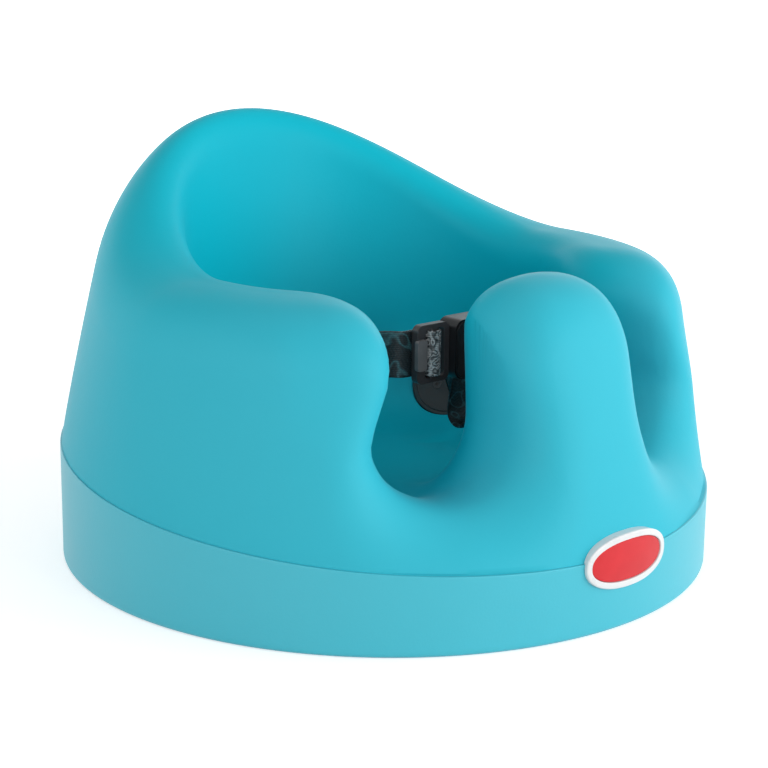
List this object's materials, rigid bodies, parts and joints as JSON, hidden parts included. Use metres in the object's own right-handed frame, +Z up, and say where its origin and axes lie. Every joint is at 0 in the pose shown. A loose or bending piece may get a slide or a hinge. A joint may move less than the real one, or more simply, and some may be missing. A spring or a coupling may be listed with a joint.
{
  "type": "baby floor seat",
  "caption": "Round moulded foam floor seat for a baby, with a high back, leg openings either side of a centre post, and a lap harness whose plugs clip into a push-button buckle.",
  "frame": {"origin": "centre of the round underside, on the floor", "axes": "+Z up; -Y the front, with the badge and the centre post; +X to the right as one looks at the front, and the parts named right lie on +X"},
  "size_m": [0.37, 0.372, 0.24],
  "materials": {
    "foam": "satin",
    "foam_band": "satin",
    "badge_white": "gloss",
    "badge_red": "gloss",
    "moulded_black": "satin",
    "buckle_black": "satin",
    "button_grey": "satin",
    "webbing": "matte",
    "steel": "satin",
    "screw_black": "satin"
  },
  "bodies": {
    "seat": {"foam_body": "foam", "base_band": "foam_band", "badge_rim": "badge_white", "badge_face": "badge_red", "anchor_cup_left": "moulded_black", "anchor_cup_right": "moulded_black", "anchor_cup_crotch": "moulded_black", "anchor_pin_left": "steel", "anchor_pin_right": "steel", "anchor_pin_crotch": "steel", "anchor_cover_left": "moulded_black", "anchor_cover_right": "moulded_black", "anchor_cover_crotch": "moulded_black", "anchor_screws": "screw_black", "lap_strap_left": "webbing", "lap_strap_right": "webbing", "crotch_strap": "webbing"},
    "buckle": {"buckle_front": "buckle_black", "buckle_rear": "buckle_black", "buckle_screws": "steel", "strap_pin": "steel", "latch_leaf": "steel"},
    "button": {"release_button": "button_grey"},
    "plug_left": {"plug_left": "buckle_black"},
    "plug_right": {"plug_right": "buckle_black"}
  },
  "joints": [
    {"name": "buckle_swing", "type": "hinge", "parent": "seat", "child": "buckle", "pos_m": [0, -0.0945, 0.108], "axis": [1, 0, 0], "range_deg": [-45, 12], "stiffness_Nm_per_rad": 0.5, "deforming": ["crotch_strap", "lap_strap_left", "lap_strap_right"]},
    {"name": "button_press", "type": "slide", "parent": "buckle", "child": "button", "axis": [0, 1, 0], "range_m": [0, 0.0028], "stiffness_N_per_m": 200, "deforming": ["latch_leaf"]},
    {"name": "plug_left_slide", "type": "slide", "parent": "buckle", "child": "plug_left", "axis": [-1, 0, 0], "range_m": [0, 0.02], "deforming": ["latch_leaf", "lap_strap_left"]},
    {"name": "plug_right_slide", "type": "slide", "parent": "buckle", "child": "plug_right", "axis": [1, 0, 0], "range_m": [0, 0.02], "deforming": ["latch_leaf", "lap_strap_right"]}
  ]
}
